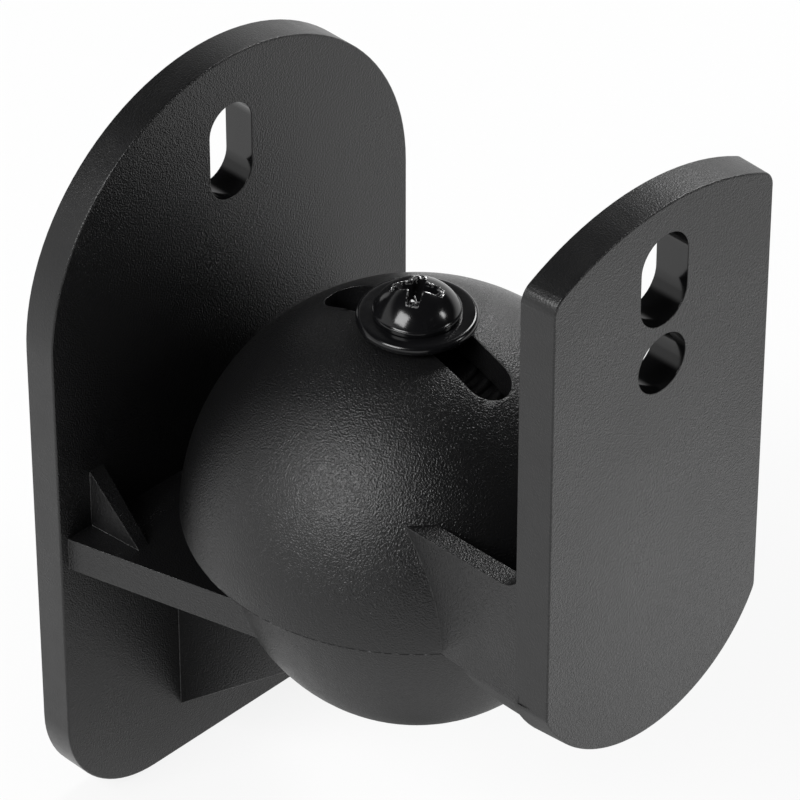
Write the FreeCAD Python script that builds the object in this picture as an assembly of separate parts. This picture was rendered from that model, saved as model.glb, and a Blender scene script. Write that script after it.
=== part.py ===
import FreeCAD, Part
import math
import os

os.makedirs("parts", exist_ok=True)

# Speaker wall bracket: a domed speaker bracket clamped over a ball on a wall bracket.
# Millimetres, +Z up, wall behind at +Y, speaker in front at -Y, +X to the right seen from the
# speaker side. Every shape is drawn about the centre of the ball, and saved with the origin on
# the back face of the wall plate, level with the ball centre.

V = FreeCAD.Vector
X_AXIS = V(1, 0, 0)
Y_AXIS = V(0, 1, 0)
Z_AXIS = V(0, 0, 1)

# Clearances
RUN_GAP = 0.45            # ball equator to dome bore, radial
RIB_GAP = 0.05            # friction ridges of the ball to dome bore, radial
SCREW_GAP = 0.30          # screw to the slot edges and holes, radial
THREAD_GAP = 0.10         # screw's thread inside its nominal size, radial
NUT_BORE_GAP = 0.05       # nut's bore to the screw's thread, radial
WASHER_GAP = 0.15         # washer's bore to the nominal size of the screw, radial
NUT_GAP = 0.10            # nut flats to their pocket
SEAT_GAP = 0.02           # faces pressed together by the clamp screw

# Ball joint
DOME_R = 22.5             # outside of the dome
DOME_WALL = 3.0
DOME_RIM_Z = 0.8          # lower rim of the dome
BORE_R = DOME_R - DOME_WALL
BALL_R = BORE_R - RUN_GAP
BOWL_DEPTH = 21.5         # lowest point of the bowl under the ball centre
RIDGE_ANGLES = (17.0, 22.0, 27.0, 32.0, 37.0)   # friction ridges, degrees from the pole
RIDGE_W = 1.1
RIDGE_ROOT = 0.4          # depth of the ridges' foot inside the ball

# Clamp screw, M4 with a pan head
SCREW_D = 4.0
SCREW_LEN = 16.0
HEAD_D = 8.4
HEAD_H = 3.1
HEAD_SIDE_H = 0.9         # straight side of the head under its crown
CROSS_SPAN = 4.6          # tip to tip of the cross recess
CROSS_W = 0.95
CROSS_DEPTH = 1.9
CROSS_FLOOR_SPAN = 1.93   # tip to tip at the floor of the recess
SCREW_TIP = 0.6           # chamfer of the screw's tip
WASHER_D = 11.5
WASHER_T = 1.0
WASHER_EDGE_R = 0.28
SLOT_W = SCREW_D + 2 * SCREW_GAP
SLOT_TIP_DEG = 30.0       # slot tips from the pole of the dome

# Nut and its well inside the ball
NUT_AF = 7.0
NUT_H = 3.2
NUT_COVER = 5.65          # ball over the nut, along the screw
NUT_TOP_Z = BALL_R - NUT_COVER
NUT_CHAMFER_D = 7.42      # where the chamfer cuts the end faces
NUT_CHAMFER_DEG = 30.0
WELL_R = 9.0
WELL_TO_NUT = 0.4         # top of the well under the nut
WELL_TOP_Z = NUT_TOP_Z - NUT_H - WELL_TO_NUT

# Wall plate
WALL_W = 47.0
WALL_T = 3.6
WALL_FACE_Y = 24.6        # face towards the ball
WALL_ARC_Z = 16.5         # centre of the round top
WALL_BOTTOM_Z = -39.7
WALL_CORNER_R = 11.2
WALL_SLOT_W = 5.4
WALL_SLOT_L = 10.6
WALL_SLOT_Z = 29.3
WALL_BACK_Y = WALL_FACE_Y + WALL_T
EDGE_R = 0.2              # soft front edges of both plates

# Shelf, its gussets and the webs below it
SHELF_TOP_Z = -4.8
SHELF_T = 3.7
SHELF_HALF_W = 22.5       # half width where it meets the wall plate
SHELF_TAPER_DEG = 15.4
SHELF_ROOT_Y = 4.0        # the shelf ends inside the ball
GUSSET_T = 1.8
GUSSET_H = 6.5
GUSSET_L = 6.1
GUSSET_OUT_X = 19.4
GUSSET_TOE_T = 1.3        # thickness at the toe
WEB_T = 2.2
WEB_OUT_X = 8.5
WEB_WALL_Z = -33.9        # foot of each web on the wall plate
WEB_RISE_DEG = 40.8       # rise of the lower edge of each web towards the bowl
WEB_ROOT_Y = 6.0          # the webs end inside the bowl

# Speaker plate
PLATE_W = 28.1            # across the outer face
PLATE_DRAFT = 0.3         # the sides and the bottom grow by this much towards the back
PLATE_T = 3.8
PLATE_BACK_Y = -26.6      # face towards the ball
PLATE_TOP_Z = 50.9
PLATE_TOP_R = 28.4
PLATE_BOTTOM_Z = -8.9
PLATE_BOTTOM_BULGE = 1.35 # radius of the lower arc beyond half the width
PLATE_BOTTOM_R = PLATE_W / 2 + PLATE_BOTTOM_BULGE
PLATE_CORNER_R = 2.0      # upright corners
PLATE_FRONT_Y = PLATE_BACK_Y - PLATE_T
PLATE_HOLE_D = 6.1
PLATE_HOLE_Z = 33.7
PLATE_SLOT_W = 6.0
PLATE_SLOT_L = 9.7
PLATE_SLOT_Z = 42.85

# Neck between the dome and the speaker plate
CHEEK_T = 2.2
NECK_HALF_W = PLATE_W / 2 + PLATE_DRAFT
NECK_DRAFT_DEG = 1.8      # the cheeks lean in towards their tops
NECK_TOP_Z = 13.2         # at the plate
NECK_TOP_DEG = 1.8        # fall of the cheek tops towards the dome
NECK_BOTTOM_Z = DOME_RIM_Z
NECK_FILLET = 2.4         # concave run-out of the cheek tops into the plate
NECK_FLOOR_T = 2.6
NECK_ROOT_Y = -6.0        # the neck starts inside the dome and is cut back by its bore
BELLY_INSET = 0.3         # belly of the neck inside the back outline of the plate
BELLY_CLEAR_R = 24.5      # sphere swept clear under the neck
BELLY_FLOOR_Z = -5.0
BELLY_L = 16.0

# Construction only: how far pieces of one moulding run into each other, and cuts run clear
SINK = 0.5
CLEAR = 1.0


def polygon_prism(points, direction):
    """Prism on a closed planar polygon."""
    wire = Part.makePolygon(points + [points[0]])
    return Part.Face(wire).extrude(direction)


def round_slot(width, length, z_mid, y_from, y_to):
    """Upright slot with round ends, cut along Y."""
    half = (length - width) / 2
    depth = y_to - y_from
    cut = Part.makeCylinder(width / 2, depth, V(0, y_from, z_mid - half), Y_AXIS)
    cut = cut.fuse(Part.makeCylinder(width / 2, depth, V(0, y_from, z_mid + half), Y_AXIS))
    return cut.fuse(Part.makeBox(width, depth, 2 * half, V(-width / 2, y_from, z_mid - half)))


def ball_profile():
    """Half section of the ball: round above its equator, slightly drawn down below it."""
    top = V(0, 0, BALL_R)
    side = V(BALL_R, 0, 0)
    low = V(0, 0, -BOWL_DEPTH)
    mid_a = math.radians(45)
    upper = Part.Arc(top, V(BALL_R * math.sin(mid_a), 0, BALL_R * math.cos(mid_a)), side).toShape()
    ends = (low, side) if BOWL_DEPTH > BALL_R else (side, low)
    lower = Part.Ellipse(*ends, V(0, 0, 0)).toShape()
    cutter = Part.makeBox(BALL_R + CLEAR, 2 * CLEAR, BOWL_DEPTH + CLEAR,
                          V(0, -CLEAR, -BOWL_DEPTH - CLEAR))
    lower = lower.common(cutter).Edges[0]
    return Part.Face(Part.Wire(Part.__sortEdges__([upper, lower, Part.makeLine(low, top)])))


def friction_ridge(angle_deg):
    """Low ridge around the ball, just short of the dome bore."""
    crest = BORE_R - RIB_GAP
    root = BALL_R - RIDGE_ROOT
    half = math.degrees(RIDGE_W / 2 / BALL_R)
    a0 = math.radians(angle_deg - half)
    a1 = math.radians(angle_deg + half)
    am = math.radians(angle_deg)

    def at(radius, angle):
        return V(radius * math.sin(angle), 0, radius * math.cos(angle))

    section = Part.Wire([
        Part.makeLine(at(root, a0), at(BALL_R, a0)),
        Part.Arc(at(BALL_R, a0), at(crest, am), at(BALL_R, a1)).toShape(),
        Part.makeLine(at(BALL_R, a1), at(root, a1)),
        Part.makeLine(at(root, a1), at(root, a0)),
    ])
    return Part.Face(section).revolve(V(0, 0, 0), Z_AXIS, 360)


def hex_prism(across_flats, height, z_base):
    """Upright hexagonal prism with two corners on the X axis."""
    r = across_flats / math.sqrt(3)
    points = [V(r * math.cos(math.radians(60 * i)), r * math.sin(math.radians(60 * i)), z_base)
              for i in range(6)]
    return polygon_prism(points, V(0, 0, height))


def wall_plate():
    """Upright plate with a round top, rounded bottom corners and one upright slot."""
    half = WALL_W / 2
    c = WALL_CORNER_R
    k = c * (1 - math.sqrt(0.5))
    y = WALL_BACK_Y
    left = V(-half, y, WALL_ARC_Z)
    right = V(half, y, WALL_ARC_Z)
    outline = Part.Wire([
        Part.Arc(left, V(0, y, WALL_ARC_Z + half), right).toShape(),
        Part.makeLine(right, V(half, y, WALL_BOTTOM_Z + c)),
        Part.Arc(V(half, y, WALL_BOTTOM_Z + c), V(half - k, y, WALL_BOTTOM_Z + k),
                 V(half - c, y, WALL_BOTTOM_Z)).toShape(),
        Part.makeLine(V(half - c, y, WALL_BOTTOM_Z), V(c - half, y, WALL_BOTTOM_Z)),
        Part.Arc(V(c - half, y, WALL_BOTTOM_Z), V(k - half, y, WALL_BOTTOM_Z + k),
                 V(-half, y, WALL_BOTTOM_Z + c)).toShape(),
        Part.makeLine(V(-half, y, WALL_BOTTOM_Z + c), left),
    ])
    plate = Part.Face(outline).extrude(V(0, -WALL_T, 0))
    front = [e for e in plate.Edges if abs(e.BoundBox.YMax - WALL_FACE_Y) < 1e-6]
    plate = plate.makeFillet(EDGE_R, front)
    return plate.cut(round_slot(WALL_SLOT_W, WALL_SLOT_L, WALL_SLOT_Z,
                                WALL_FACE_Y - CLEAR, WALL_BACK_Y + CLEAR))


def shelf_half_width(y):
    """Half width of the shelf at a distance from the ball axis."""
    return SHELF_HALF_W - (WALL_FACE_Y - y) * math.tan(math.radians(SHELF_TAPER_DEG))


def shelf():
    """Level shelf from the wall plate into the ball, narrowing towards the ball."""
    y0 = WALL_FACE_Y + SINK
    y1 = SHELF_ROOT_Y
    z = SHELF_TOP_Z - SHELF_T
    w0 = shelf_half_width(y0)
    w1 = shelf_half_width(y1)
    return polygon_prism([V(-w0, y0, z), V(-w1, y1, z), V(w1, y1, z), V(w0, y0, z)],
                         V(0, 0, SHELF_T))


def gusset(side):
    """Small triangular gusset between the shelf and the wall plate."""
    x = GUSSET_OUT_X - GUSSET_T
    y = WALL_FACE_Y
    toe_y = y - GUSSET_L
    foot_z = SHELF_TOP_Z - SINK
    top_z = SHELF_TOP_Z + GUSSET_H
    slope = polygon_prism([V(x, y + SINK, foot_z), V(x, y + SINK, top_z), V(x, y, top_z),
                           V(x, toe_y, SHELF_TOP_Z), V(x, toe_y, foot_z)], V(GUSSET_T, 0, 0))
    plan = polygon_prism([V(x, y + SINK, foot_z), V(GUSSET_OUT_X, y + SINK, foot_z),
                          V(GUSSET_OUT_X, y, foot_z), V(x + GUSSET_TOE_T, toe_y, foot_z),
                          V(x, toe_y, foot_z)], V(0, 0, GUSSET_H + 2 * SINK))
    rib = slope.common(plan)
    return rib if side > 0 else rib.mirror(V(0, 0, 0), X_AXIS)


def web(side):
    """Upright web under the shelf, its lower edge rising from the wall plate to the bowl."""
    x = WEB_OUT_X - WEB_T if side > 0 else -WEB_OUT_X
    rise = math.tan(math.radians(WEB_RISE_DEG))
    z_in = WEB_WALL_Z + (WALL_FACE_Y - WEB_ROOT_Y) * rise
    z_top = SHELF_TOP_Z - SHELF_T + SINK
    points = [V(x, WALL_FACE_Y + SINK, z_top), V(x, WALL_FACE_Y + SINK, WEB_WALL_Z),
              V(x, WALL_FACE_Y, WEB_WALL_Z), V(x, WEB_ROOT_Y, z_in), V(x, WEB_ROOT_Y, z_top)]
    return polygon_prism(points, V(WEB_T, 0, 0))


def wall_bracket():
    """Wall plate, shelf, gussets, webs and ball as one moulding, with the nut well inside."""
    ball = ball_profile().revolve(V(0, 0, 0), Z_AXIS, 360)
    body = ball.fuse([shelf(), gusset(-1), gusset(1), web(-1), web(1), wall_plate()])
    body = body.removeSplitter()
    for angle in RIDGE_ANGLES:
        body = body.fuse(friction_ridge(angle))
    well = Part.makeCylinder(WELL_R, WELL_TOP_Z + BOWL_DEPTH + CLEAR,
                             V(0, 0, -BOWL_DEPTH - CLEAR), Z_AXIS)
    pocket = hex_prism(NUT_AF + 2 * NUT_GAP, NUT_H + WELL_TO_NUT + CLEAR, WELL_TOP_Z - CLEAR)
    hole = Part.makeCylinder(SCREW_D / 2 + SCREW_GAP, BALL_R, V(0, 0, NUT_TOP_Z - CLEAR), Z_AXIS)
    return body.cut([well, pocket, hole])


def speaker_plate_outline(inset, y):
    """Outline of the speaker plate: straight sides between a shallow and a rounder arc."""
    half = PLATE_W / 2 - inset
    top_r = PLATE_TOP_R
    low_r = PLATE_BOTTOM_R - inset
    top_c = PLATE_TOP_Z - PLATE_TOP_R
    low_c = PLATE_BOTTOM_Z + PLATE_BOTTOM_R
    z_top = top_c + math.sqrt(top_r ** 2 - half ** 2)
    z_low = low_c - math.sqrt(low_r ** 2 - half ** 2)
    return Part.Wire([
        Part.Arc(V(-half, y, z_top), V(0, y, top_c + top_r), V(half, y, z_top)).toShape(),
        Part.makeLine(V(half, y, z_top), V(half, y, z_low)),
        Part.Arc(V(half, y, z_low), V(0, y, low_c - low_r), V(-half, y, z_low)).toShape(),
        Part.makeLine(V(-half, y, z_low), V(-half, y, z_top)),
    ])


def speaker_plate():
    """Speaker plate with its round hole and the slot above it."""
    plate = Part.makeLoft([speaker_plate_outline(-PLATE_DRAFT, PLATE_BACK_Y),
                           speaker_plate_outline(0, PLATE_FRONT_Y)], True, True)
    corners = [e for e in plate.Edges
               if e.BoundBox.YLength > PLATE_T - 0.01 and e.BoundBox.XLength < PLATE_DRAFT + 0.05]
    plate = plate.makeFillet(PLATE_CORNER_R, corners)
    front = [e for e in plate.Edges if abs(e.BoundBox.YMax - PLATE_FRONT_Y) < 1e-6]
    return plate.makeFillet(EDGE_R, front)


def plate_holes():
    """Hole and slot through the speaker plate."""
    y0 = PLATE_FRONT_Y - CLEAR
    y1 = PLATE_BACK_Y + CLEAR
    hole = Part.makeCylinder(PLATE_HOLE_D / 2, y1 - y0, V(0, y0, PLATE_HOLE_Z), Y_AXIS)
    return hole.fuse(round_slot(PLATE_SLOT_W, PLATE_SLOT_L, PLATE_SLOT_Z, y0, y1))


def neck_side(x):
    """Side outline of the neck, running out into the plate at its top."""
    y0 = PLATE_BACK_Y - SINK
    y1 = NECK_ROOT_Y
    f = NECK_FILLET
    bend = f * (1 - math.sqrt(0.5))
    y_end = PLATE_BACK_Y + f
    z_end = NECK_TOP_Z
    z_in = z_end - math.tan(math.radians(NECK_TOP_DEG)) * (y1 - y_end)
    return Part.Wire([
        Part.makeLine(V(x, y0, NECK_BOTTOM_Z), V(x, y1, NECK_BOTTOM_Z)),
        Part.makeLine(V(x, y1, NECK_BOTTOM_Z), V(x, y1, z_in)),
        Part.makeLine(V(x, y1, z_in), V(x, y_end, z_end)),
        Part.Arc(V(x, y_end, z_end), V(x, PLATE_BACK_Y + bend, z_end + bend),
                 V(x, PLATE_BACK_Y, z_end + f)).toShape(),
        Part.makeLine(V(x, PLATE_BACK_Y, z_end + f), V(x, y0, z_end + f)),
        Part.makeLine(V(x, y0, z_end + f), V(x, y0, NECK_BOTTOM_Z)),
    ])


def trapezium(half_low, half_high, z_low, z_high, y_from, y_to):
    """Bar along Y whose section narrows from its lower to its upper edge."""
    return polygon_prism([V(-half_low, y_from, z_low), V(half_low, y_from, z_low),
                          V(half_high, y_from, z_high), V(-half_high, y_from, z_high)],
                         V(0, y_to - y_from, 0))


def neck():
    """Open-topped neck: two leaning cheeks on a floor, with a belly under the plate end."""
    x = NECK_HALF_W
    y0 = PLATE_BACK_Y - SINK
    height = NECK_TOP_Z + NECK_FILLET + CLEAR - NECK_BOTTOM_Z
    lean = height * math.tan(math.radians(NECK_DRAFT_DEG))
    top = NECK_BOTTOM_Z + height
    inner = x - CHEEK_T
    floor = NECK_BOTTOM_Z + NECK_FLOOR_T
    block = Part.Face(neck_side(-x)).extrude(V(2 * x, 0, 0))
    block = block.common(trapezium(x, x - lean, NECK_BOTTOM_Z, top, y0, NECK_ROOT_Y))
    block = block.cut(trapezium(inner, inner - lean, floor, top, PLATE_BACK_Y, NECK_ROOT_Y))
    outline = speaker_plate_outline(BELLY_INSET - PLATE_DRAFT, y0)
    belly = Part.Face(outline).extrude(V(0, BELLY_L, 0))
    band = Part.makeBox(4 * x, BELLY_L, NECK_BOTTOM_Z + SEAT_GAP - BELLY_FLOOR_Z,
                        V(-2 * x, y0, BELLY_FLOOR_Z))
    belly = belly.common(band).cut(Part.makeSphere(BELLY_CLEAR_R))
    return block.fuse(belly)


def speaker_bracket():
    """Dome, neck and speaker plate as one moulding; the dome has a slot over its pole."""
    half_box = Part.makeBox(2 * DOME_R, 2 * DOME_R, DOME_R, V(-DOME_R, -DOME_R, DOME_RIM_Z))
    dome = Part.makeSphere(DOME_R).common(half_box)
    body = dome.fuse([neck(), speaker_plate()]).removeSplitter()
    body = body.cut(plate_holes())
    body = body.cut(Part.makeSphere(BORE_R))
    tip = DOME_R * math.sin(math.radians(SLOT_TIP_DEG)) - SLOT_W / 2
    slot = Part.makeBox(SLOT_W, 2 * tip, DOME_R, V(-SLOT_W / 2, -tip, 0))
    for y in (-tip, tip):
        slot = slot.fuse(Part.makeCylinder(SLOT_W / 2, DOME_R, V(0, y, 0), Z_AXIS))
    return body.cut(slot)


def washer_seat_z():
    """Height at which the flat washer rests on the slot edges of the dome."""
    return math.sqrt(DOME_R ** 2 - (SLOT_W / 2) ** 2) + SEAT_GAP


def washer():
    """Flat washer with rounded outer edges."""
    z = washer_seat_z()
    ring = Part.makeCylinder(WASHER_D / 2, WASHER_T, V(0, 0, z), Z_AXIS)
    rims = [e for e in ring.Edges if e.Curve.TypeId == "Part::GeomCircle"]
    ring = ring.makeFillet(WASHER_EDGE_R, rims)
    return ring.cut(Part.makeCylinder(SCREW_D / 2 + WASHER_GAP, WASHER_T + 2 * CLEAR,
                                      V(0, 0, z - CLEAR), Z_AXIS))


def clamp_screw():
    """Pan head screw with a cross recess and a plain shank at the thread size."""
    z = washer_seat_z() + WASHER_T + SEAT_GAP
    top = z + HEAD_H
    r = HEAD_D / 2
    crown = HEAD_H - HEAD_SIDE_H
    crown_r = (r ** 2 + crown ** 2) / (2 * crown)
    mid_x = r / 2
    mid_z = top - crown_r + math.sqrt(crown_r ** 2 - mid_x ** 2)
    shank = SCREW_D / 2 - THREAD_GAP
    end = z - SCREW_LEN
    profile = Part.Wire([
        Part.makeLine(V(0, 0, end), V(shank - SCREW_TIP, 0, end)),
        Part.makeLine(V(shank - SCREW_TIP, 0, end), V(shank, 0, end + SCREW_TIP)),
        Part.makeLine(V(shank, 0, end + SCREW_TIP), V(shank, 0, z)),
        Part.makeLine(V(shank, 0, z), V(r, 0, z)),
        Part.makeLine(V(r, 0, z), V(r, 0, z + HEAD_SIDE_H)),
        Part.Arc(V(r, 0, z + HEAD_SIDE_H), V(mid_x, 0, mid_z), V(0, 0, top)).toShape(),
        Part.makeLine(V(0, 0, top), V(0, 0, end)),
    ])
    body = Part.Face(profile).revolve(V(0, 0, 0), Z_AXIS, 360)
    half = CROSS_SPAN / 2
    low = CROSS_FLOOR_SPAN / 2
    for turn in (0, 90):
        wing = polygon_prism([V(-half, -CROSS_W / 2, top), V(half, -CROSS_W / 2, top),
                              V(low, -CROSS_W / 2, top - CROSS_DEPTH),
                              V(-low, -CROSS_W / 2, top - CROSS_DEPTH)], V(0, CROSS_W, 0))
        wing.rotate(V(0, 0, 0), Z_AXIS, turn)
        body = body.cut(wing)
    return body


def clamp_nut():
    """Hexagon nut with chamfered corners, in the pocket at the top of the well."""
    z = NUT_TOP_Z - NUT_H - SEAT_GAP
    nut = hex_prism(NUT_AF, NUT_H, z)
    r = NUT_CHAMFER_D / 2
    wide = r + NUT_H / math.tan(math.radians(NUT_CHAMFER_DEG))
    upper = Part.makeCone(wide, r, NUT_H, V(0, 0, z), Z_AXIS)
    lower = Part.makeCone(r, wide, NUT_H, V(0, 0, z), Z_AXIS)
    bore = Part.makeCylinder(SCREW_D / 2 - THREAD_GAP + NUT_BORE_GAP, NUT_H + 2 * CLEAR,
                             V(0, 0, z - CLEAR), Z_AXIS)
    return nut.common(upper).common(lower).cut(bore)


PARTS = {
    "wall_bracket": wall_bracket,
    "speaker_bracket": speaker_bracket,
    "clamp_washer": washer,
    "clamp_screw": clamp_screw,
    "clamp_nut": clamp_nut,
}

for name, make in PARTS.items():
    shape = make()
    solids = shape.Solids
    print(name, "solids", len(solids), "valid", shape.isValid(), "volume", round(shape.Volume, 1),
          "box", [round(v, 2) for v in (shape.BoundBox.XMin, shape.BoundBox.XMax,
                                        shape.BoundBox.YMin, shape.BoundBox.YMax,
                                        shape.BoundBox.ZMin, shape.BoundBox.ZMax)])
    if len(solids) == 1:
        shape = solids[0]
    shape.translate(V(0, -WALL_BACK_Y, 0))
    shape.exportStep("parts/%s.step" % name)
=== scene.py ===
import logging
import math
from dataclasses import dataclass
from enum import Enum
from typing import Any

import bmesh
import bpy
import numpy as np
from mathutils import Matrix, Vector


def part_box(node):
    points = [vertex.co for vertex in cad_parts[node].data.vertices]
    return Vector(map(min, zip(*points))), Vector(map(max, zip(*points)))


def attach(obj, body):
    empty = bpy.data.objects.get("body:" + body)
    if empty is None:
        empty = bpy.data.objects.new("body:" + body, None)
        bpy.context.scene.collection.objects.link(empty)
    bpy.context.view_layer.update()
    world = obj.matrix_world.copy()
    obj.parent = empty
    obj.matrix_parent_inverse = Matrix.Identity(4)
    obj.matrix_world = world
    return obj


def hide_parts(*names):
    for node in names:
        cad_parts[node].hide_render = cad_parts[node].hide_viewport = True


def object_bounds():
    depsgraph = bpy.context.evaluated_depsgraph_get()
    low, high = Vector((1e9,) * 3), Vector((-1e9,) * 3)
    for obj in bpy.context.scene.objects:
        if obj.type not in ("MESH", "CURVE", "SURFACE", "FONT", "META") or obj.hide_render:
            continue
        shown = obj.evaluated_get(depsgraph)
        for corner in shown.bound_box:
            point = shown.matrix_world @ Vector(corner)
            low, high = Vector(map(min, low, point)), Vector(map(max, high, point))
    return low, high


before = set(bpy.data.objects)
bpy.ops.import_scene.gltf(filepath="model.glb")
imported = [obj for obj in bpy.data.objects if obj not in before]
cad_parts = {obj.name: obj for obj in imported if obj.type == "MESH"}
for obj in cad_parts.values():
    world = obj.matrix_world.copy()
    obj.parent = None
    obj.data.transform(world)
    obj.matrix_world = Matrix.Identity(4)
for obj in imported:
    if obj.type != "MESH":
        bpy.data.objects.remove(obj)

# A speaker wall bracket of matte black plastic: a domed speaker bracket clamped over a ball on a
# wall bracket by one black screw. Metres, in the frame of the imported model: +Z up, wall behind at
# +Y, speaker in front at -Y, origin on the back of the wall plate level with the ball centre.

MM = 0.001
CAD_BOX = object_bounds()
LOG = logging.getLogger("speaker_bracket")
Socket = bpy.types.NodeSocket
Ring = tuple[np.ndarray, np.ndarray]

# Shares of a thread's pitch: half of the flat in the root, and one flank
ROOT_HALF = 0.12
FLANK = 0.30

# Where most values of a noise lie, and their middle
NOISE_LOW = 0.3
NOISE_HIGH = 0.7
NOISE_MIDDLE = 0.5

# Colour of the black coat on the clamp screw and its washer
COAT = (0.004, 0.004, 0.0045)


class Node(Enum):
    """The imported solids."""

    WALL_BRACKET = "wall_bracket"
    SPEAKER_BRACKET = "speaker_bracket"
    WASHER = "clamp_washer"
    SCREW = "clamp_screw"
    NUT = "clamp_nut"


class Body(Enum):
    """The bodies that move against each other."""

    WALL_SIDE = "wall_side"
    PAN_WASHER = "pan_washer"
    SPEAKER_SIDE = "speaker_side"


class Slot(Enum):
    """The record's material slots."""

    PLASTIC = "moulded_black"
    BLACK_STEEL = "black_screw"
    PLAIN_STEEL = "nut_steel"


# Surfaces on a grid


def ring_faces(rows: int, columns: int, closed: bool) -> np.ndarray:
    """Quads of a grid whose columns run round and whose rows run along.

    Args:
        rows: number of rings.
        columns: points on each ring.
        closed: whether the last ring joins the first one.

    Returns:
        Array (faces, 4) of vertex numbers, facing outwards when the columns run anticlockwise
        seen from the end that the rows start at.
    """
    r = np.arange(rows if closed else rows - 1)[:, None]
    c = np.arange(columns)[None, :]
    r1 = (r + 1) % rows
    c1 = (c + 1) % columns
    corners = (r * columns + c, r1 * columns + c, r1 * columns + c1, r * columns + c1)
    return np.stack(np.broadcast_arrays(*corners), axis=-1).reshape(-1, 4)


def link_piece(name: str, mesh: bpy.types.Mesh) -> bpy.types.Object:
    """Puts a mesh into the scene, shaded smooth.

    Args:
        name: name of the piece.
        mesh: its mesh.

    Returns:
        The linked object, at the origin.
    """
    mesh.polygons.foreach_set("use_smooth", np.ones(len(mesh.polygons), bool))
    mesh.update()
    piece = bpy.data.objects.new(name, mesh)
    bpy.context.scene.collection.objects.link(piece)
    return piece


def mesh_piece(name: str, points: np.ndarray, faces: list) -> bpy.types.Object:
    """Smooth-shaded mesh object at the origin.

    Args:
        name: name of the piece.
        points: array (..., 3) in metres.
        faces: vertex numbers of each face.

    Returns:
        The linked object.
    """
    mesh = bpy.data.meshes.new(name)
    mesh.from_pydata(points.reshape(-1, 3).tolist(), [], faces)
    return link_piece(name, mesh)


def round_edges(piece: bpy.types.Object, width: float, sharp_deg: float, clamp: bool) -> None:
    """Rounds the sharp edges of a piece, with normals that keep its flat faces flat.

    Args:
        piece: the piece.
        width: width of the rounding.
        sharp_deg: least angle between two faces whose edge is rounded.
        clamp: whether a rounding is held back where it would meet another one.
    """
    bevel = piece.modifiers.new("edges", "BEVEL")
    bevel.width = width
    bevel.segments = 2
    bevel.limit_method = "ANGLE"
    bevel.angle_limit = math.radians(sharp_deg)
    bevel.use_clamp_overlap = clamp
    weigh = piece.modifiers.new("flats", "WEIGHTED_NORMAL")
    weigh.mode = "FACE_AREA"


def turn_angles(columns: int) -> np.ndarray:
    """Angles of evenly spaced columns round an upright axis.

    Args:
        columns: number of columns.

    Returns:
        Array (columns,) in radians.
    """
    return np.arange(columns) * math.tau / columns


def polar_points(radius: np.ndarray, height: np.ndarray, angle: np.ndarray,
                 centre: Vector) -> np.ndarray:
    """Points at x = radius cos(angle), y = radius sin(angle), z = height about an upright axis.

    Args:
        radius: array (rings, columns).
        height: array that broadcasts to it.
        angle: array (columns,).
        centre: point of the axis at height zero.

    Returns:
        Array (rings, columns, 3).
    """
    x = centre.x + radius * np.cos(angle)
    y = centre.y + radius * np.sin(angle)
    z = centre.z + np.broadcast_to(height, radius.shape)
    return np.stack([x, y, z], axis=-1)


def arc_profile(centre: tuple[float, float], radius: float, start: float, end: float,
                count: int) -> np.ndarray:
    """Points of a circular arc in the (radius, height) half plane, angles in degrees.

    Args:
        centre: centre of the arc.
        radius: its radius.
        start: first angle, from the outward direction.
        end: last angle.
        count: number of points.

    Returns:
        Array (count, 2).
    """
    a = np.radians(np.linspace(start, end, count))
    return np.stack([centre[0] + radius * np.cos(a), centre[1] + radius * np.sin(a)], axis=-1)


def thread_depth(height: np.ndarray, angle: np.ndarray, pitch: float) -> np.ndarray:
    """Share of the thread depth, 0 on the crest and 1 in the root.

    The place along the pitch is height / pitch - angle / full turn. Its distance from the middle
    of the root, from 0 to a half, runs from 1 to 0 between the flats of root and crest.

    Args:
        height: array (rings, 1).
        angle: array (columns,).
        pitch: pitch in metres.

    Returns:
        Array (rings, columns).
    """
    place = np.mod(height / pitch - angle / math.tau, 1.0)
    off_root = np.abs(place - 0.5)
    return 1.0 - np.clip((off_root - ROOT_HALF) / FLANK, 0.0, 1.0)


# Finishes


@dataclass(frozen=True)
class Noise:
    """A noise: width of its blotches in metres, octaves, and strength of each finer octave."""

    size: float
    detail: float = 2.0
    roughness: float = 0.5


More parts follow.
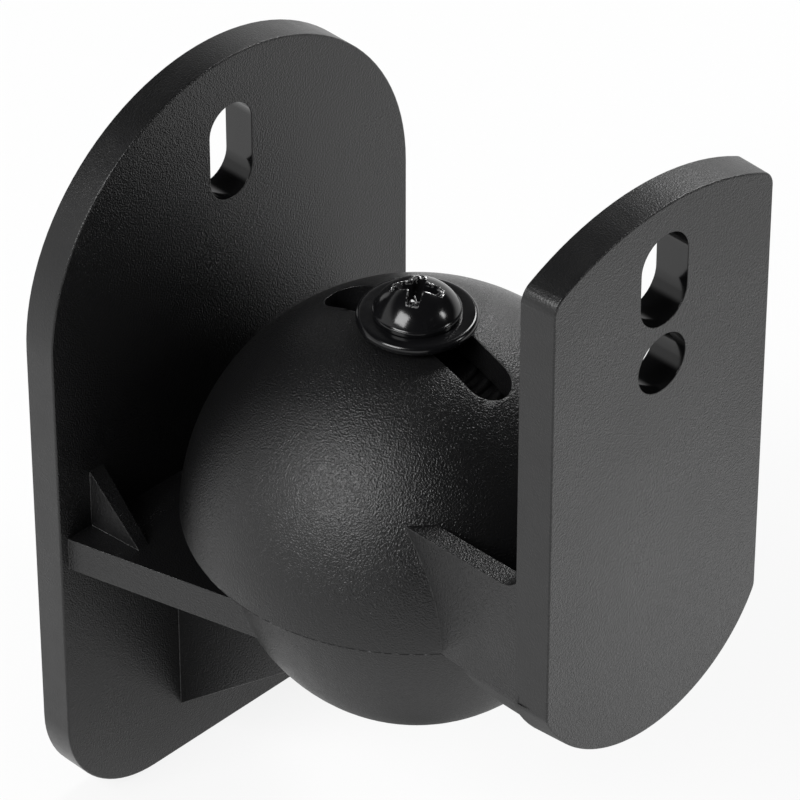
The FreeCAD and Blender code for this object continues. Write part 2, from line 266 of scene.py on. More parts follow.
class Graph:
    """The node tree of a material or a world, with short calls for its nodes and links."""

    def __init__(self, owner: bpy.types.Material | bpy.types.World, output: str) -> None:
        """Starts an empty tree with its output.

        Args:
            owner: the material or the world.
            output: Blender's name for the output node, without its ShaderNode prefix.
        """
        owner.use_nodes = True
        self.owner = owner
        self.tree = owner.node_tree
        self.tree.nodes.clear()
        self.output = self.node(output)

    def node(self, kind: str, settings: dict[str, Any] | None = None,
             **inputs: Any) -> bpy.types.Node:
        """Adds a node.

        Args:
            kind: Blender's name for the node type without its ShaderNode prefix.
            settings: properties of the node.
            inputs: values or sockets for its inputs, by name with underscores for spaces, or
                by number as i0, i1 and so on.

        Returns:
            The node.
        """
        made = self.tree.nodes.new("ShaderNode" + kind)
        for key, value in (settings or {}).items():
            setattr(made, key, value)
        for key, value in inputs.items():
            numbered = key[0] == "i" and key[1:].isdigit()
            socket = made.inputs[int(key[1:]) if numbered else key.replace("_", " ")]
            if isinstance(value, Socket):
                self.tree.links.new(value, socket)
            else:
                socket.default_value = value
        return made

    def noise(self, place: Socket, kind: Noise) -> Socket:
        """Lays a noise over the object.

        Args:
            place: object coordinates.
            kind: the noise.

        Returns:
            The noise, mostly between NOISE_LOW and NOISE_HIGH.
        """
        return self.node("TexNoise", Vector=place, Scale=1.0 / kind.size, Detail=kind.detail,
                         Roughness=kind.roughness).outputs["Fac"]

    def math(self, operation: str, a: Any, b: Any = 0.0, c: Any = 0.0) -> Socket:
        """One step of arithmetic.

        Args:
            operation: Blender's name for it.
            a: first number or socket.
            b: second one, where the operation takes two.
            c: third one, such as the tolerance of COMPARE.

        Returns:
            The result.
        """
        return self.node("Math", {"operation": operation}, i0=a, i1=b, i2=c).outputs[0]

    def product(self, first: Any, *factors: Any) -> Socket:
        """Multiplies numbers and sockets.

        Args:
            first: first number or socket.
            factors: the others.

        Returns:
            The product.
        """
        result = first
        for factor in factors:
            result = self.math("MULTIPLY", result, factor)
        return result

    def vector(self, operation: str, **inputs: Any) -> bpy.types.Node:
        """One step of vector arithmetic.

        Args:
            operation: Blender's name for it.
            inputs: its inputs, named as for node().

        Returns:
            The node.
        """
        return self.node("VectorMath", {"operation": operation}, **inputs)

    def scaled(self, colour: tuple[float, float, float], shade: Socket) -> Socket:
        """Makes a colour lighter or darker.

        Args:
            colour: linear red, green and blue.
            shade: the number that it is multiplied by.

        Returns:
            The colour.
        """
        return self.vector("SCALE", i0=colour, Scale=shade).outputs[0]

    def axis(self, vector: Socket, letter: str) -> Socket:
        """One coordinate of a vector.

        Args:
            vector: the vector.
            letter: X, Y or Z.

        Returns:
            The coordinate.
        """
        return self.node("SeparateXYZ", Vector=vector).outputs[letter]

    def blend(self, share: Socket, a: Any, b: Any) -> Socket:
        """Blends two numbers.

        Args:
            share: how much of the second one there is, from 0 to 1.
            a: first number or socket.
            b: second number or socket.

        Returns:
            The blend.
        """
        return self.node("Mix", i0=share, i2=a, i3=b).outputs[0]

    def spread(self, value: Socket, low: float, high: float, to_low: float, to_high: float,
               curve: str = "LINEAR") -> Socket:
        """Maps low..high of a value to to_low..to_high, and holds the ends beyond them.

        Args:
            value: the value.
            low: start of its range.
            high: end of its range.
            to_low: result at the start.
            to_high: result at the end.
            curve: Blender's name for the way between them.

        Returns:
            The result.
        """
        return self.node("MapRange", {"interpolation_type": curve}, i0=value, i1=low, i2=high,
                         i3=to_low, i4=to_high).outputs[0]

    def finish(self, shader: bpy.types.Node) -> bpy.types.Material | bpy.types.World:
        """Ends the tree in a shader.

        Args:
            shader: the last node.

        Returns:
            The material or the world.
        """
        self.tree.links.new(shader.outputs[0], self.output.inputs["Surface"])
        return self.owner

    def coated(self, colour: Socket, roughness: Socket, metallic: Any, height: Socket,
               depth: float, specular: float) -> bpy.types.Material:
        """Ends the tree in a bumpy surface.

        Args:
            colour: its colour.
            roughness: its roughness.
            metallic: how much of a metal it is, a number or a socket.
            height: height of the bumps, about 0 to 1.
            depth: what one unit of height is in metres.
            specular: its specular level.

        Returns:
            The material.
        """
        bump = self.node("Bump", Strength=1.0, Distance=depth, Height=height)
        shader = self.node("BsdfPrincipled", Base_Color=colour, Roughness=roughness,
                           Metallic=metallic, Normal=bump.outputs[0])
        shader.inputs["Specular IOR Level"].default_value = specular
        return self.finish(shader)


@dataclass(frozen=True)
class GrainedPlastic:
    """Black plastic with a spark-eroded grain.

    The colour and the gloss drift over centimetres, and grains in two sizes give the bump. Faces
    that look neither forward nor back carry a blotchy witness of the mould's parting faces, and
    those on the two plates, which are their edges, have less grain as well. The holes of the
    plates are smooth from their pins, and the rim of the dome ends in a dull, broken line of
    flash with pale flecks.
    """

    name: str
    colour: tuple[float, float, float] = (0.005, 0.005, 0.0053)
    roughness: float = 0.31
    specular: float = 0.47
    drift: Noise = Noise(14 * MM, 3.0)
    drift_shade: tuple[float, float] = (0.94, 1.06)
    drift_gloss: float = 0.03
    grain: Noise = Noise(0.17 * MM, 1.5, 0.6)
    coarse_grain: Noise = Noise(0.36 * MM)
    coarse_share: float = 0.25
    depth: float = 0.085 * MM
    pit_gloss: float = 0.03
    speck_limits: tuple[float, float] = (0.35, 0.75)
    speck_shade: tuple[float, float] = (0.82, 1.22)
    edge_limits: tuple[float, float] = (0.15, 0.5)
    blotch: Noise = Noise(2.6 * MM, 4.0, 0.62)
    blotch_limits: tuple[float, float] = (0.42, 0.62)
    blotch_strength: float = 0.4
    blotch_shade: float = 0.35
    blotch_gloss: float = 0.12
    plates_middle: float = -29.2 * MM
    plates_half: float = 25.5 * MM
    edge_smooth: float = 1.5
    bore_half: float = 3.4 * MM
    bore_low: float = 23.5 * MM
    bore_high: float = 36.8 * MM
    bore_slant: float = 0.21
    bore_facing: float = 0.5
    bore_roughness: float = 0.11
    dome_axis: tuple[float, float] = (0.0, -28.2 * MM)
    dome_radius: float = 22.5 * MM
    dome_skin: float = 0.3 * MM
    rim_height: float = 0.8 * MM
    flash: float = 0.16 * MM
    flash_gaps: Noise = Noise(0.8 * MM, 3.0)
    dull_limits: tuple[float, float] = (0.35, 0.5)
    fleck_limits: tuple[float, float] = (0.3, 0.38)
    fleck_shade: float = 16.0

    def bores(self, g: Graph, place: Socket, facing: Socket) -> Socket:
        """One on the walls of the plates' slots and hole, and else zero.

        They lie near the upright centre plane, over the dome, and below a height that grows
        towards the speaker by bore_slant, as the tops of the plates do.

        Args:
            g: the material.
            place: object coordinates.
            facing: how far a face looks forward or back, from 0 to 1.

        Returns:
            The mask.
        """
        at = g.node("SeparateXYZ", Vector=place).outputs
        top = g.math("SUBTRACT", self.bore_high, g.product(at["Y"], self.bore_slant))
        return g.product(
            g.math("LESS_THAN", g.math("ABSOLUTE", at["X"]), self.bore_half),
            g.math("GREATER_THAN", at["Z"], self.bore_low),
            g.math("LESS_THAN", at["Z"], top),
            g.math("LESS_THAN", facing, self.bore_facing),
        )

    def flash_line(self, g: Graph, place: Socket) -> tuple[Socket, Socket]:
        """The broken line of flash on the lowest strip of the dome's outside.

        Args:
            g: the material.
            place: object coordinates.

        Returns:
            The mask of its dull stretches and that of its pale flecks.
        """
        off = g.vector("SUBTRACT", i0=place, i1=(*self.dome_axis, 0.0)).outputs[0]
        flat = g.vector("MULTIPLY", i0=off, i1=(1.0, 1.0, 0.0)).outputs[0]
        radius = g.vector("LENGTH", i0=flat).outputs["Value"]
        skin = g.math("COMPARE", radius, self.dome_radius, self.dome_skin)
        strip = g.math("COMPARE", g.axis(place, "Z"), self.rim_height, self.flash)
        line = g.product(skin, strip)
        gaps = g.noise(place, self.flash_gaps)
        dull = g.product(line, g.spread(gaps, *self.dull_limits, 0.0, 1.0))
        fleck = g.product(line, g.spread(gaps, *self.fleck_limits, 1.0, 0.0))
        return dull, fleck

    def on_plates(self, g: Graph, place: Socket) -> Socket:
        """One on the wall plate and the speaker plate, and zero between them.

        Args:
            g: the material.
            place: object coordinates.

        Returns:
            The mask.
        """
        off_middle = g.math("SUBTRACT", g.axis(place, "Y"), self.plates_middle)
        return g.math("GREATER_THAN", g.math("ABSOLUTE", off_middle), self.plates_half)

    def material(self) -> bpy.types.Material:
        """Builds the material on object coordinates.

        Returns:
            The material.
        """
        g = Graph(bpy.data.materials.new(self.name), "OutputMaterial")
        place = g.node("TexCoord").outputs["Object"]
        facing = g.math("ABSOLUTE", g.axis(g.node("TexCoord").outputs["Normal"], "Y"))
        drift = g.noise(place, self.drift)
        fine = g.noise(place, self.grain)
        blotches = g.spread(g.noise(place, self.blotch), *self.blotch_limits, 0.0, 1.0)
        edge = g.spread(facing, *self.edge_limits, self.blotch_strength, 0.0)
        worn = g.product(edge, blotches)
        bore = self.bores(g, place, facing)
        dull, fleck = self.flash_line(g, place)

        shade = g.product(g.spread(drift, NOISE_LOW, NOISE_HIGH, *self.drift_shade),
                          g.spread(fine, *self.speck_limits, *self.speck_shade),
                          g.math("SUBTRACT", 1.0, g.product(worn, self.blotch_shade)))
        shade = g.math("ADD", shade, g.product(fleck, self.fleck_shade))

        rough = g.spread(drift, NOISE_LOW, NOISE_HIGH, self.roughness - self.drift_gloss,
                         self.roughness + self.drift_gloss)
        rough = g.math("ADD", rough, g.product(worn, self.blotch_gloss))
        pits = g.spread(fine, NOISE_LOW, NOISE_HIGH, self.pit_gloss, -self.pit_gloss)
        rough = g.math("MAXIMUM", g.math("ADD", rough, pits), dull)
        rough = g.blend(bore, rough, self.bore_roughness)

        coarse = g.noise(place, self.coarse_grain)
        height = g.math("ADD", fine, g.product(coarse, self.coarse_share))
        height = g.blend(bore, height, NOISE_MIDDLE)
        smooth = g.product(edge, self.on_plates(g, place), self.edge_smooth)
        height = g.blend(smooth, height, NOISE_MIDDLE)
        return g.coated(g.scaled(self.colour, shade), rough, 0.0, height, self.depth,
                        self.specular)


@dataclass(frozen=True)
class Steel:
    """Turned or pressed steel, bright or under a black coat.

    The coat has a slight orange peel in its gloss. It may be chipped to the bare metal, which
    shows where the noise of the chips is above a level that falls as chips grows from 0 to 1.
    """

    name: str
    colour: tuple[float, float, float]
    metallic: float
    roughness: float
    specular: float = 0.5
    chips: float = 0.0
    chip: Noise = Noise(0.35 * MM, 4.0, 0.6)
    chip_level: float = 0.62
    chip_fall: float = 0.24
    chip_edge: float = 0.02
    bare: float = 0.55
    bare_roughness: float = 0.35
    peel: Noise = Noise(0.5 * MM)
    fine: Noise = Noise(0.06 * MM, 1.0)
    fine_share: float = 0.25
    depth: float = 0.004 * MM
    cloud: Noise = Noise(2.0 * MM, 3.0)
    cloud_shade: tuple[float, float] = (0.85, 1.15)
    cloud_gloss: tuple[float, float] = (0.85, 1.2)

    def material(self) -> bpy.types.Material:
        """Builds the material on object coordinates.

        Returns:
            The material.
        """
        g = Graph(bpy.data.materials.new(self.name), "OutputMaterial")
        place = g.node("TexCoord").outputs["Object"]
        cloud = g.noise(place, self.cloud)
        colour = g.scaled(self.colour,
                          g.spread(cloud, NOISE_LOW, NOISE_HIGH, *self.cloud_shade))
        gloss = [self.roughness * share for share in self.cloud_gloss]
        rough = g.spread(cloud, NOISE_LOW, NOISE_HIGH, *gloss)
        height = g.math("ADD", g.noise(place, self.peel),
                        g.product(g.noise(place, self.fine), self.fine_share))
        metal = self.metallic
        if self.chips:
            level = self.chip_level - self.chip_fall * self.chips
            metal = g.spread(g.noise(place, self.chip), level - self.chip_edge,
                             level + self.chip_edge, 0.0, 1.0)
            colour = g.node("Mix", {"data_type": "RGBA"}, i0=metal, i6=colour,
                            i7=(self.bare, self.bare, self.bare, 1.0)).outputs[2]
            rough = g.blend(metal, rough, self.bare_roughness)
        return g.coated(colour, rough, metal, height, self.depth, self.specular)


# Pieces


@dataclass
class Piece:
    """A finished piece: what it rides on, what it stands for and its finish."""

    node: Node
    body: Body
    slot: Slot

    def measure(self) -> tuple[Vector, float, float]:
        """Measures the solid of a piece that is turned about an upright axis.

        Returns:
            The middle of its foot, its outer radius and its height.
        """
        low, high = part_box(self.node.value)
        foot = Vector(((low.x + high.x) / 2, (low.y + high.y) / 2, low.z))
        return foot, (high.x - low.x) / 2, high.z - low.z

    def install(self, piece: bpy.types.Object, material: bpy.types.Material) -> None:
        """Dresses a piece and sets it on its body in place of its solid.

        Args:
            piece: the finished object.
            material: its finish.
        """
        piece.data.materials.clear()
        piece.data.materials.append(material)
        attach(piece, self.body.value)
        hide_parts(self.node.value)
        LOG.info("%s: %d faces on %s", piece.name, len(piece.data.polygons), self.body.value)


@dataclass
class Moulding(Piece):
    """One of the two plastic brackets: its solid with all sharp edges rounded."""

    name: str = ""
    edge_radius: float = 0.08 * MM
    sharp_deg: float = 32.0
    merge: float = 0.0005 * MM
    flat_deg: float = 0.4

    def build(self, material: bpy.types.Material) -> bpy.types.Object:
        """Copies the solid, joins its points and its flat triangles, and rounds its edges.

        Args:
            material: the plastic.

        Returns:
            The piece.
        """
        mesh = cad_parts[self.node.value].data.copy()
        mesh.name = self.name
        made = bmesh.new()
        made.from_mesh(mesh)
        bmesh.ops.remove_doubles(made, verts=made.verts, dist=self.merge)
        bmesh.ops.dissolve_limit(made, angle_limit=math.radians(self.flat_deg),
                                 verts=made.verts, edges=made.edges, delimit=set())
        made.to_mesh(mesh)
        made.free()
        piece = link_piece(self.name, mesh)
        round_edges(piece, self.edge_radius, self.sharp_deg, False)
        self.install(piece, material)
        return piece


@dataclass
class ClampWasher(Piece):
    """Flat washer with well rounded outer edges."""

    name: str = "flat_washer"
    bore_radius: float = 2.15 * MM
    outer_round: float = 0.42 * MM
    bore_round: float = 0.15 * MM
    outer_points: int = 9
    bore_points: int = 5
    flat_points: int = 12
    columns: int = 160

    def profile(self, radius: float, thickness: float) -> np.ndarray:
        """Closed section of the ring, with a rounding of its own at the rim and at the bore.

        Args:
            radius: outer radius.
            thickness: height of the ring.

        Returns:
            Array (points, 2) of radius and height, from the outer side over the top.
        """
        r = self.outer_round
        b = self.bore_round
        inner = self.bore_radius
        flat = np.linspace(radius - r, inner + b, self.flat_points)[1:-1]
        top = np.stack([flat, np.full_like(flat, thickness)], axis=-1)
        low = np.stack([flat[::-1], np.zeros_like(flat)], axis=-1)
        return np.concatenate([
            arc_profile((radius - r, thickness - r), r, 0, 90, self.outer_points), top,
            arc_profile((inner + b, thickness - b), b, 90, 180, self.bore_points),
            arc_profile((inner + b, b), b, 180, 270, self.bore_points), low,
            arc_profile((radius - r, r), r, 270, 360, self.outer_points),
        ])

    def build(self, material: bpy.types.Material) -> bpy.types.Object:
        """Turns the section round the screw's axis.

        Args:
            material: the black steel.

        Returns:
            The piece.
        """
        foot, outer, thickness = self.measure()
        section = self.profile(outer, thickness)
        radius = np.repeat(section[:, :1], self.columns, axis=1)
        points = polar_points(radius, section[:, 1:], turn_angles(self.columns), foot)
        faces = ring_faces(len(section), self.columns, True)[:, ::-1].tolist()
        piece = mesh_piece(self.name, points, faces)
        self.install(piece, material)
        return piece


@dataclass
class ClampScrew(Piece):
    """Pan head machine screw with a cross recess and a coarse thread.

    The rings of the head run from the middle of the recess over the lip and the crown to the
    underside. The coat is chipped between the two rings of chipped_rings, which lie just inside
    and just outside the lip.
    """

    name: str = "pan_head_screw"
    head_height: float = 3.1 * MM
    head_side: float = 0.35 * MM
    side_round: float = 0.15 * MM
    side_drop: float = 1.2
    side_foot: float = 0.16 * MM
    foot_round: float = 0.12 * MM
    recess_span: float = 4.7 * MM
    recess_width: float = 1.25 * MM
    recess_depth: float = 1.8 * MM
    recess_floor: float = 0.42
    recess_waist: float = 0.55
    recess_point: float = 0.25 * MM
    recess_turn_deg: float = 33.0
    tip_corner: float = 8.0
    arm_corner: float = 14.0
    lip: float = 0.14 * MM
    chipped_rings: tuple[int, int] = (11, 19)
    shank_radius: float = 1.9 * MM
    shank_start: float = 0.02 * MM
    pitch: float = 0.7 * MM
    rings_per_pitch: int = 9
    thread_depth: float = 0.40 * MM
    thread_start: float = 0.6 * MM
    thread_fade: float = 0.7 * MM
    neck_fillet: float = 0.25 * MM
    tip_taper: float = 0.75 * MM
    columns: int = 192

    def cross_radius(self, angle: np.ndarray, scale: float) -> np.ndarray:
        """Distance from the axis to the outline of the cross recess.

        Along one arm the outline is the nearer of its tip line and its side line, blended by a
        negative power mean, and the cross is the farther of its two arms, blended by a power
        mean, which rounds its outer and inner corners.

        Args:
            angle: array (columns,).
            scale: length of the arms as a share of the full span.

        Returns:
            Array (columns,).
        """
        turn = angle - math.radians(self.recess_turn_deg)
        across = np.maximum(np.abs(np.cos(turn)), 1e-4)
        along = np.maximum(np.abs(np.sin(turn)), 1e-4)
        tip = self.recess_span / 2 * scale
        side = self.recess_width / 2 * (self.recess_waist + (1 - self.recess_waist) * scale)
        p = self.tip_corner
        arm_a = ((tip / across) ** -p + (side / along) ** -p) ** (-1 / p)
        arm_b = ((tip / along) ** -p + (side / across) ** -p) ** (-1 / p)
        q = self.arm_corner
        return (arm_a ** q + arm_b ** q) ** (1 / q)

    def crown(self, cap: float, r: np.ndarray) -> np.ndarray:
        """Height of the crown: top - (R - root(R^2 - r^2)) of a sphere with radius R.

        Args:
            cap: radius of the sphere.
            r: distances from the axis.

        Returns:
            Heights above the underside of the head.
        """
        return self.head_height - cap + np.sqrt(cap ** 2 - r ** 2)

    def recess(self, cap: float, angle: np.ndarray) -> list[Ring]:
        """Rings of the recess: its pointed floor, its walls and its rounded lip.

        Args:
            cap: radius of the crown's sphere.
            angle: array (columns,).

        Returns:
            Radii and heights (columns,) of each ring.
        """
        top = self.cross_radius(angle, 1.0)
        low = self.cross_radius(angle, self.recess_floor)
        floor = self.head_height - self.recess_depth
        brink = self.crown(cap, top) - self.lip
        rings = []
        for share in (0.02, 0.5, 0.85, 1.0):
            rings.append((low * share,
                          np.full_like(angle, floor - self.recess_point * (1 - share))))
        for share in np.linspace(0.08, 0.94, 9):
            rings.append((low + (top - low) * share, floor + (brink - floor) * share))
        for bend in np.radians(np.linspace(10, 90, 6)):
            edge = top + self.lip * (1 - math.cos(bend))
            rings.append((edge, self.crown(cap, edge) - self.lip * (1 - math.sin(bend))))
        return rings

    def outside(self, cap: float, radius: float, angle: np.ndarray) -> list[Ring]:
        """Rings of the head outside the lip: crown, shoulder, side and rounded foot.

        Args:
            cap: radius of the crown's sphere.
            radius: radius of the head.
            angle: array (columns,).

        Returns:
            Radii and heights (columns,) of each ring.
        """
        level = np.ones_like(angle)
        lip_end = self.cross_radius(angle, 1.0) + self.lip
        slope = math.sin(math.atan2(radius - self.side_round, cap))
        shoulder = radius - self.side_round * (1 - slope / 2)
        rings = []
        for share in np.linspace(0.04, 1.0, 26):
            edge = lip_end + (shoulder - lip_end) * share
            rings.append((edge, self.crown(cap, edge)))
        start = self.crown(cap, level * shoulder)
        for swing in np.radians(90 * np.linspace(0.2, 1.0, 5)):
            drop = self.side_round * (1 - math.cos(swing)) * self.side_drop
            rings.append((level * (shoulder + (radius - shoulder) * math.sin(swing)),
                          start - drop))
        for height in (self.side_foot, self.foot_round):
            rings.append((level * radius, level * height))
        for swing in np.radians((30, 60, 90)):
            rings.append((level * (radius - self.foot_round * (1 - math.cos(swing))),
                          level * self.foot_round * (1 - math.sin(swing))))
        return rings

    def head_rings(self, radius: float, angle: np.ndarray) -> Ring:
        """Radii and heights of the head's rings, from the recess floor to the underside.

        Args:
            radius: radius of the head.
            angle: array (columns,).

        Returns:
            Two arrays (rings, columns), heights above the underside.
        """
        rise = self.head_height - self.head_side
        cap = (radius ** 2 + rise ** 2) / (2 * rise)
        radii, heights = zip(*self.recess(cap, angle), *self.outside(cap, radius, angle))
        return np.array(radii), np.array(heights)

    def shank_rings(self, length: float, angle: np.ndarray) -> Ring:
        """Radii and heights of the shank's rings, from the underside of the head to the tip.

        The radius is the crest radius less the thread's depth, which fades out under the head,
        and no more than the cone of the tip.

        Args:
            length: length under the head.
            angle: array (columns,).

        Returns:
            Two arrays (rings, columns).
        """
        rings = int(length / self.pitch * self.rings_per_pitch)
        height = -np.linspace(self.shank_start, length, rings)[:, None]
        fade = np.clip((-height - self.thread_start) / self.thread_fade, 0.0, 1.0)
        near_head = np.clip(1 + height / self.neck_fillet, 0.0, 1.0)
        cut = self.thread_depth * thread_depth(height, angle, self.pitch) * fade
        cone = self.shank_radius - self.tip_taper + (height + length)
        radius = np.minimum(self.shank_radius - cut + self.neck_fillet * near_head ** 2, cone)
        return radius, np.broadcast_to(height, radius.shape)

    def build(self, material: bpy.types.Material,
              chipped: bpy.types.Material) -> bpy.types.Object:
        """Joins the rings of head and shank into one closed surface.

        Args:
            material: the black steel.
            chipped: the black steel where its coat is chipped, on the lip of the recess.

        Returns:
            The piece.
        """
        foot, outer, height = self.measure()
        shank_length = height - self.head_height
        angle = turn_angles(self.columns)
        head = self.head_rings(outer, angle)
        shank = self.shank_rings(shank_length, angle)
        radii = np.concatenate([head[0], shank[0]])
        heights = np.concatenate([head[1], shank[1]])
        seat = foot + Vector((0.0, 0.0, shank_length))
        points = polar_points(radii, heights, angle, seat)
        faces = ring_faces(len(radii), self.columns, False).tolist()
        ends = np.arange(radii.size).reshape(radii.shape)
        faces.append(ends[0].tolist())
        faces.append(ends[-1, ::-1].tolist())
        piece = mesh_piece(self.name, points, faces)
        self.install(piece, material)
        piece.data.materials.append(chipped)
        first, last = (ring * self.columns for ring in self.chipped_rings)
        for face in piece.data.polygons[first:last]:
            face.material_index = 1
        return piece


@dataclass
class ClampNut(Piece):
    """Hexagon nut with chamfered corners and a threaded bore."""

    name: str = "hexagon_nut"
    across_flats: float = 7.0 * MM
    face_share: float = 0.97
    chamfer_deg: float = 30.0
    edge_radius: float = 0.08 * MM
    sharp_deg: float = 35.0
    side_rings: int = 9
    bore_radius: float = 1.94 * MM
    bore_rings: int = 44
    mouth_depth: float = 0.25 * MM
    mouth_width: float = 0.22 * MM
    pitch: float = 0.7 * MM
    thread_depth: float = 0.03 * MM
    columns: int = 144

    def hexagon(self, angle: np.ndarray) -> np.ndarray:
        """Distance to the hexagon: half across the flats over the cosine of the turn from the
        middle of the nearest flat.

        Args:
            angle: array (columns,), with corners at whole sixths of a turn from zero.

        Returns:
            Array (columns,).
        """
        sixth = math.tau / 6
        off = np.mod(angle, sixth) - sixth / 2
        return self.across_flats / 2 / np.cos(off)

    def build(self, material: bpy.types.Material) -> bpy.types.Object:
        """Carries the section of the nut round its axis.

        The rings run up the six sides, over the top face, down the bore and back over the
        bottom face.

        Args:
            material: the bright steel.

        Returns:
            The piece.
        """
        foot, _, thick = self.measure()
        angle = turn_angles(self.columns)
        side = self.hexagon(angle)
        face = self.across_flats / 2 * self.face_share
        drop = (side - face) * math.tan(math.radians(self.chamfer_deg))
        rise = np.linspace(0.0, 1.0, self.side_rings)[:, None]
        outer = np.repeat(side[None, :], self.side_rings, axis=0)
        outer_z = drop + rise * (thick - 2 * drop)
        bore_z = np.linspace(thick - self.mouth_depth, self.mouth_depth, self.bore_rings)[:, None]
        bore = self.bore_radius - self.thread_depth * thread_depth(bore_z, angle, self.pitch)
        ones = np.ones((1, self.columns))
        mouth = ones * (self.bore_radius + self.mouth_width)
        radii = np.concatenate([outer, ones * face, mouth, bore, mouth, ones * face])
        heights = np.concatenate([outer_z, ones * thick, ones * thick,
                                  np.broadcast_to(bore_z, bore.shape), ones * 0, ones * 0])
        points = polar_points(radii, heights, angle, foot)
        faces = ring_faces(len(radii), self.columns, True)[:, ::-1].tolist()
        piece = mesh_piece(self.name, points, faces)
        round_edges(piece, self.edge_radius, self.sharp_deg, True)
        self.install(piece, material)
        return piece


# Studio


@dataclass
class Softbox:
    """A square area lamp that faces the ball from a direction."""

    name: str
    direction: tuple[float, float, float]
    size: float
    power: float
    distance: float = 0.75

    def build(self, target: Vector) -> None:
        """Adds the lamp.

        Args:
            target: the point that it faces.
        """
        data = bpy.data.lights.new(self.name, "AREA")
        data.shape = "SQUARE"
        data.size = self.size
        data.energy = self.power
        lamp = bpy.data.objects.new(self.name, data)
        lamp.visible_camera = False
        toward = Vector(self.direction).normalized()
        lamp.location = target + toward * self.distance
        lamp.rotation_euler = toward.to_track_quat("Z", "Y").to_euler()
        bpy.context.scene.collection.objects.link(lamp)


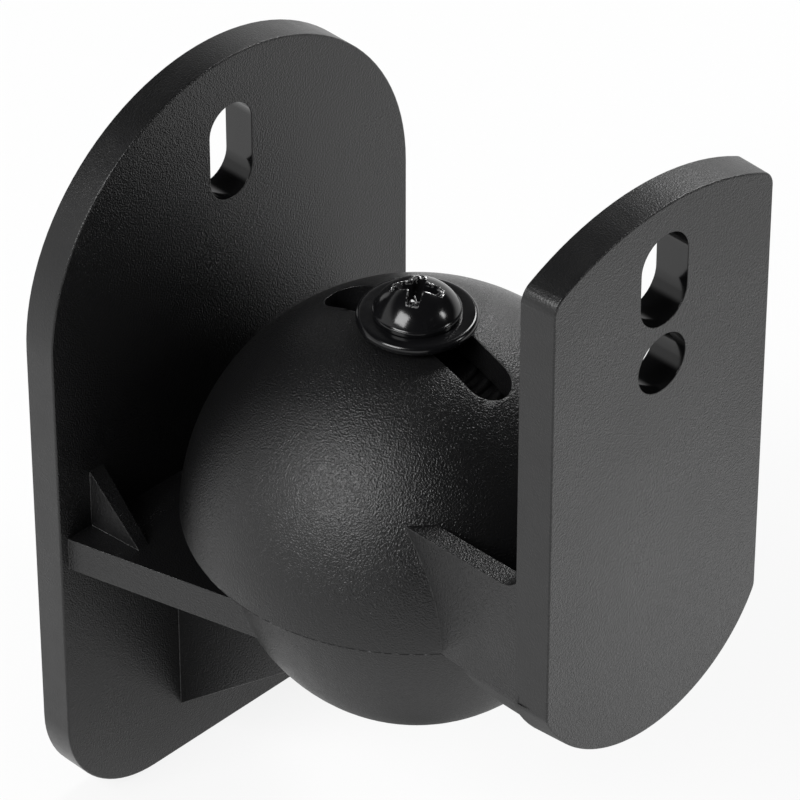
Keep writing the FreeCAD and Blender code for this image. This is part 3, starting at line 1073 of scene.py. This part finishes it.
@dataclass
class Studio:
    """Pale floor, white surroundings, four area lamps and the camera of the photograph."""

    softboxes: tuple[Softbox, ...] = (
        Softbox("left_softbox", (-0.762, 0.055, 0.644), 0.36, 4.6),
        Softbox("front_softbox", (0.495, -0.692, 0.520), 0.16, 1.0),
        Softbox("right_softbox", (0.74, 0.22, 0.63), 0.24, 2.3),
        Softbox("front_card", (0.405, -0.757, -0.514), 0.05, 0.006, 0.074),
    )
    azimuth_deg: float = -45.254
    elevation_deg: float = 37.667
    depth: float = 0.5568
    lens: float = 264.17
    image_size: float = 800.0
    ball_pixel: tuple[float, float] = (416.78, 509.0)
    floor_size: float = 6.0
    floor_colour: tuple[float, float, float] = (0.82, 0.82, 0.82)
    floor_white: float = 0.86
    floor_gloss: float = 0.85
    # Painted shadow under the ball, seen only in gloss: the floor's brightness at the ball's foot,
    # and the distance over which it comes back to full
    painted_shadow_level: float = 0.1
    painted_shadow_radius: float = 32 * MM
    surround: float = 0.45
    ceiling: float = 0.02
    cove_tilt: tuple[float, float] = (0.0, -0.50)
    cove_limits: tuple[float, float] = (0.06, 0.36)

    def floor_light(self, g: Graph, ball: Vector) -> tuple[Socket, Socket]:
        """How the floor shows by the kind of ray that meets it.

        The share of plain white is high for the camera, through glass and in gloss, and none
        for light that spreads. In gloss the floor carries a painted shadow under the ball: its
        colour and its white are darkened towards the ball's foot.

        Args:
            g: the floor's material.
            ball: centre of the ball.

        Returns:
            The share of plain white, and the brightness of the floor, which holds the painted
            shadow in gloss.
        """
        path = g.node("LightPath").outputs
        place = g.node("TexCoord").outputs["Object"]
        foot = g.vector("DISTANCE", i0=place, i1=(ball.x, ball.y, CAD_BOX[0].z))
        # Painted shadow: in gloss the floor darkens towards the foot of the ball
        shade = g.spread(foot.outputs["Value"], 0.0, self.painted_shadow_radius, self.painted_shadow_level, 1.0)
        clear = g.math("MAXIMUM", path["Is Camera Ray"], path["Is Transmission Ray"])
        gloss = g.product(path["Is Glossy Ray"], self.floor_gloss)
        share = g.math("MAXIMUM", g.product(clear, self.floor_white), gloss)
        return share, g.blend(path["Is Glossy Ray"], 1.0, shade)

    def floor(self, ball: Vector) -> None:
        """Lays the floor level with the lowest point of the bracket.

        Args:
            ball: centre of the ball.
        """
        half = self.floor_size / 2
        z = CAD_BOX[0].z
        corners = np.array([[-half, -half, z], [half, -half, z], [half, half, z],
                            [-half, half, z]])
        floor = mesh_piece("studio_floor", corners, [[0, 1, 2, 3]])
        g = Graph(bpy.data.materials.new("pale_floor"), "OutputMaterial")
        share, brightness_with_painted_shadow = self.floor_light(g, ball)
        # The painted shadow darkens the floor's colour and its white alike
        matte = g.node("BsdfDiffuse", Color=g.scaled(self.floor_colour, brightness_with_painted_shadow))
        white = g.node("Emission", Color=(1.0, 1.0, 1.0, 1.0), Strength=brightness_with_painted_shadow)
        mixed = g.node("MixShader", i0=share, i1=matte.outputs[0], i2=white.outputs[0])
        floor.data.materials.append(g.finish(mixed))

    def surroundings(self) -> None:
        """Sets the world: a white cove under a dark ceiling, and softer where it only lights.

        The white ends at a slant: its share falls from one to the ceiling's between the two
        limits of z + tilt_x x + tilt_y y, where x, y, z is the direction that is seen.
        """
        g = Graph(bpy.data.worlds.new("white_cove"), "OutputWorld")
        place = g.node("TexCoord").outputs["Generated"]
        height = g.vector("DOT_PRODUCT", i0=place, i1=(*self.cove_tilt, 1.0)).outputs["Value"]
        cove = g.spread(height, *self.cove_limits, 1.0, self.ceiling, "SMOOTHSTEP")
        path = g.node("LightPath").outputs
        seen = g.math("MAXIMUM", path["Is Camera Ray"], path["Is Glossy Ray"])
        light = g.node("Background", Strength=g.blend(seen, self.surround, cove))
        bpy.context.scene.world = g.finish(light)

    def camera(self, ball: Vector) -> None:
        """Sets the camera so that the ball centre falls on its pixel of the photograph.

        The camera stands back along the view by the depth, and aside by the pixel's offset from
        the middle of the image times depth over focal length in pixels.

        Args:
            ball: centre of the ball.
        """
        data = bpy.data.cameras.new("photo_camera")
        data.lens = self.lens
        focal = self.lens / data.sensor_width * self.image_size
        azimuth = math.radians(self.azimuth_deg)
        elevation = math.radians(self.elevation_deg)
        back = Vector((math.sin(azimuth) * math.cos(elevation),
                       -math.cos(azimuth) * math.cos(elevation), math.sin(elevation)))
        right = Vector((math.cos(azimuth), math.sin(azimuth), 0.0))
        up = back.cross(right)
        aside = (self.ball_pixel[0] - self.image_size / 2) * self.depth / focal
        below = (self.ball_pixel[1] - self.image_size / 2) * self.depth / focal
        place = ball - right * aside + up * below + back * self.depth
        axes = Matrix((right, up, back)).transposed()
        camera = bpy.data.objects.new("photo_camera", data)
        camera.matrix_world = Matrix.Translation(place) @ axes.to_4x4()
        bpy.context.scene.collection.objects.link(camera)
        bpy.context.scene.camera = camera

    def build(self, ball: Vector) -> None:
        """Builds the studio round the ball.

        Args:
            ball: centre of the ball.
        """
        self.floor(ball)
        self.surroundings()
        for box in self.softboxes:
            box.build(ball)
        self.camera(ball)
        bpy.context.scene.view_settings.view_transform = "Standard"
        LOG.info("studio: %d area lamps", len(self.softboxes))


def main() -> None:
    logging.basicConfig(level=logging.INFO, format="%(name)s: %(message)s")
    plastic = GrainedPlastic("grained_black_plastic").material()
    black = Steel("black_coated_steel", COAT, 0.0, 0.15, 0.45).material()
    chipped = Steel("chipped_black_steel", COAT, 0.0, 0.2, 0.45, 0.35).material()
    bright = Steel("zinc_plated_steel", (0.62, 0.63, 0.64), 1.0, 0.3).material()
    wall = Moulding(Node.WALL_BRACKET, Body.WALL_SIDE, Slot.PLASTIC, "wall_moulding")
    wall.build(plastic)
    speaker = Moulding(Node.SPEAKER_BRACKET, Body.SPEAKER_SIDE, Slot.PLASTIC, "speaker_moulding")
    speaker.build(plastic)
    ClampWasher(Node.WASHER, Body.PAN_WASHER, Slot.BLACK_STEEL).build(black)
    ClampScrew(Node.SCREW, Body.WALL_SIDE, Slot.BLACK_STEEL).build(black, chipped)
    ClampNut(Node.NUT, Body.WALL_SIDE, Slot.PLAIN_STEEL).build(bright)
    low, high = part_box(Node.WASHER.value)
    ball = Vector(((low.x + high.x) / 2, (low.y + high.y) / 2, 0.0))
    Studio().build(ball)


if __name__ == "__main__":
    main()
